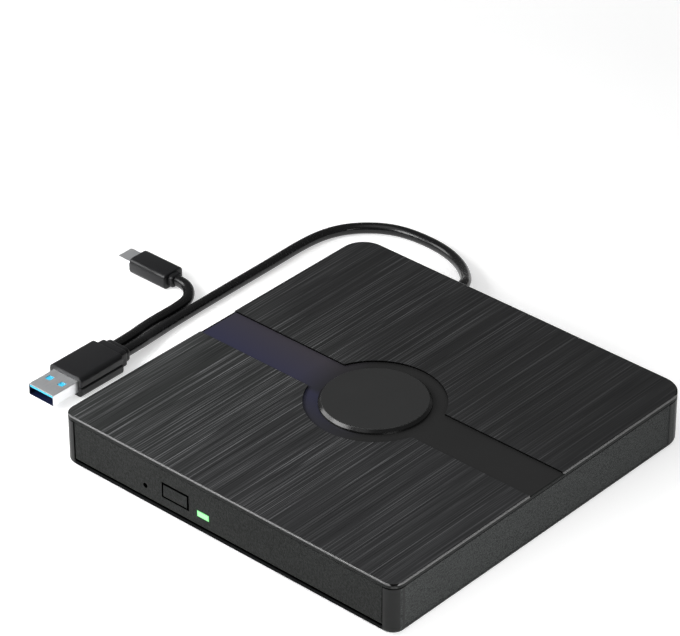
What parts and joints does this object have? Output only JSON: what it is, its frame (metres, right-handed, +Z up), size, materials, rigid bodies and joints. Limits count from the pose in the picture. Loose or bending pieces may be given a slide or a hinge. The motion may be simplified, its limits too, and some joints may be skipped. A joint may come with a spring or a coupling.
{
  "type": "external optical disc drive",
  "caption": "Flat external disc drive with a sliding front tray, eject button, raised round boss on the lid and a fixed lead with a USB-A plug and a Type-C branch plug.",
  "frame": {"origin": "on the table under the middle of the case, at the soles of the feet", "axes": "+Z up through the lid, the tray opens towards -Y, +X to the right when facing the tray's front"},
  "size_m": [0.2207, 0.1871, 0.021],
  "materials": {
    "case_plastic": "satin, fine leather grain",
    "lid_plastic": "satin, brushed-look lines",
    "disc_plastic": "satin",
    "foot_rubber": "matte",
    "screw_steel": "zinc plated",
    "sheet_steel": "pressed sheet",
    "tray_plastic": "matte",
    "bezel_plastic": "fine grain",
    "button_plastic": "satin",
    "lamp_plastic": "translucent light pipe",
    "board": "solder mask",
    "chip": "moulded",
    "ribbon": "satin film",
    "motor_steel": "drawn can",
    "cast_metal": "die cast",
    "lens_glass": "coated",
    "relief_rubber": "satin",
    "lead_jacket": "satin jacket",
    "plug_plastic": "satin",
    "plug_shell": "nickel plated",
    "tongue_blue": "moulded",
    "contacts": "gold plated"
  },
  "bodies": {
    "case": {"bottom_case": "case_plastic", "top_cover": "lid_plastic", "centre_disc": "disc_plastic", "rubber_feet": "foot_rubber", "case_screws": "screw_steel", "drive_cover_screws": "screw_steel", "board_screws": "screw_steel", "latch_post": "screw_steel", "drive_chassis": "sheet_steel", "drive_cover": "sheet_steel", "rail_guide_left": "sheet_steel", "rail_guide_right": "sheet_steel", "bridge_board": "board", "bridge_chips": "chip", "sata_connector": "chip", "type_c_insulator": "chip", "ribbon_cable": "ribbon", "strain_relief": "relief_rubber", "usb_cable": "lead_jacket", "type_c_branch": "lead_jacket", "usb_a_body": "plug_plastic", "type_c_body": "plug_plastic", "usb_a_shell": "plug_shell", "type_c_shell": "plug_shell", "usb_a_tongue": "tongue_blue", "usb_a_contacts": "contacts"},
    "tray": {"tray": "tray_plastic", "tray_bezel": "bezel_plastic", "led_lens": "lamp_plastic", "tray_under_cover": "sheet_steel", "control_board": "board", "control_chips": "chip", "eject_switch": "chip", "traverse_frame": "sheet_steel", "traverse_cover": "sheet_steel", "rubber_dampers": "foot_rubber", "guide_rods": "screw_steel", "feed_motor": "motor_steel", "spindle_motor_base": "motor_steel", "latch_pin": "screw_steel", "latch_solenoid": "motor_steel"},
    "rail_left": {"slide_rail_left": "sheet_steel"},
    "rail_right": {"slide_rail_right": "sheet_steel"},
    "button": {"eject_button": "button_plastic"},
    "spindle": {"spindle_rotor": "tray_plastic", "turntable_pad": "foot_rubber"},
    "claw_1": {"chuck_claw_1": "tray_plastic"},
    "claw_2": {"chuck_claw_2": "tray_plastic"},
    "claw_3": {"chuck_claw_3": "tray_plastic"},
    "pickup": {"pickup_carriage": "cast_metal", "laser_modules": "motor_steel"},
    "lens": {"lens_holder": "tray_plastic", "objective_lens": "lens_glass"},
    "screw": {"feed_screw": "screw_steel"},
    "latch": {"latch_lever": "tray_plastic"},
    "plunger": {"latch_plunger": "motor_steel"}
  },
  "joints": [
    {"name": "tray_slide", "type": "slide", "parent": "case", "child": "tray", "axis": [0, -1, 0], "range_m": [0, 0.128]},
    {"name": "rail_left_slide", "type": "slide", "parent": "case", "child": "rail_left", "axis": [0, -1, 0], "range_m": [0, 0.064]},
    {"name": "rail_right_slide", "type": "slide", "parent": "case", "child": "rail_right", "axis": [0, -1, 0], "range_m": [0, 0.064]},
    {"name": "eject_button_press", "type": "slide", "parent": "tray", "child": "button", "axis": [0, 1, 0], "range_m": [0, 0.0005], "stiffness_N_per_m": 400},
    {"name": "spindle_spin", "type": "hinge", "parent": "tray", "child": "spindle", "pos_m": [0, -0.009, 0], "axis": [0, 0, 1], "continuous": true},
    {"name": "pickup_slide", "type": "slide", "parent": "tray", "child": "pickup", "axis": [0.7071, 0.7071, 0], "range_m": [0, 0.032]},
    {"name": "feed_screw_spin", "type": "hinge", "parent": "tray", "child": "screw", "pos_m": [0.03677, 0.00373, 0.0073], "axis": [0.7071, 0.7071, 0], "range_deg": [0, 3850]},
    {"name": "lens_focus", "type": "slide", "parent": "pickup", "child": "lens", "axis": [0, 0, 1], "range_m": [-0.0006, 0.0006], "stiffness_N_per_m": 60},
    {"name": "latch_swing", "type": "hinge", "parent": "tray", "child": "latch", "pos_m": [-0.04, -0.012, 0.0072], "axis": [0, 0, 1], "range_deg": [-15, 0]},
    {"name": "plunger_slide", "type": "slide", "parent": "tray", "child": "plunger", "axis": [0, 1, 0], "range_m": [-0.0016, 0]},
    {"name": "claw_1_spring", "type": "slide", "parent": "spindle", "child": "claw_1", "axis": [0, -1, 0], "range_m": [0, 0.0005], "stiffness_N_per_m": 200},
    {"name": "claw_2_spring", "type": "slide", "parent": "spindle", "child": "claw_2", "axis": [0.866, 0.5, 0], "range_m": [0, 0.0005], "stiffness_N_per_m": 200},
    {"name": "claw_3_spring", "type": "slide", "parent": "spindle", "child": "claw_3", "axis": [-0.866, 0.5, 0], "range_m": [0, 0.0005], "stiffness_N_per_m": 200}
  ],
  "couplings": [
    {"joint": "rail_left_slide", "follows": "tray_slide", "ratio": 0.5},
    {"joint": "rail_right_slide", "follows": "tray_slide", "ratio": 0.5},
    {"joint": "feed_screw_spin", "follows": "pickup_slide", "rad_per_m": 2094.4},
    {"joint": "latch_swing", "follows": "plunger_slide", "rad_per_m": 163}
  ]
}
